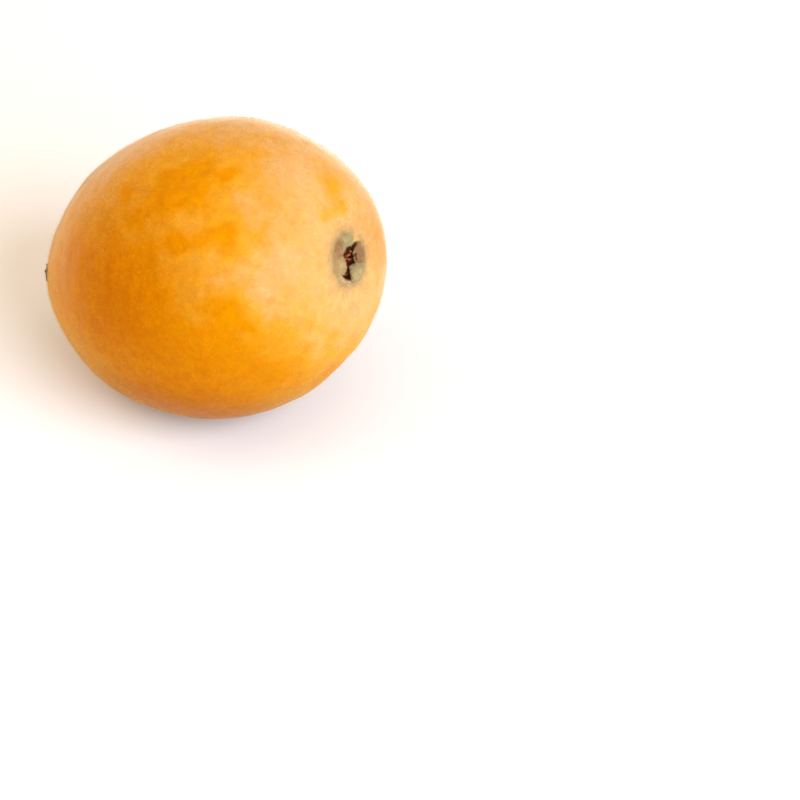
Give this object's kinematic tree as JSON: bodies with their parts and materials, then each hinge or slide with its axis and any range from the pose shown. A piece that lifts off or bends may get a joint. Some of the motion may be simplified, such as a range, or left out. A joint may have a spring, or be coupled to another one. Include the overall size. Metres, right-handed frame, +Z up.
{
  "type": "loquat",
  "caption": "Whole ripe loquat lying on its side: an egg-shaped downy orange fruit with a closed woolly calyx in a shallow basin and a broken-off stem stub.",
  "frame": {"origin": "centre of the small flat spot on the fruit's underside, which lies on the surface", "axes": "+Z up; +X runs from the stem end towards the calyx end, whose axis rises 27 degrees above the surface; +Y across the fruit"},
  "size_m": [0.0516, 0.0398, 0.0409],
  "materials": {
    "skin": "satin",
    "calyx_wool": "matte",
    "dried_stamens": "matte",
    "stem_bark": "matte"
  },
  "bodies": {
    "root": {"fruit": "skin", "calyx": "calyx_wool", "stamens": "dried_stamens", "stem": "stem_bark"}
  },
  "joints": []
}
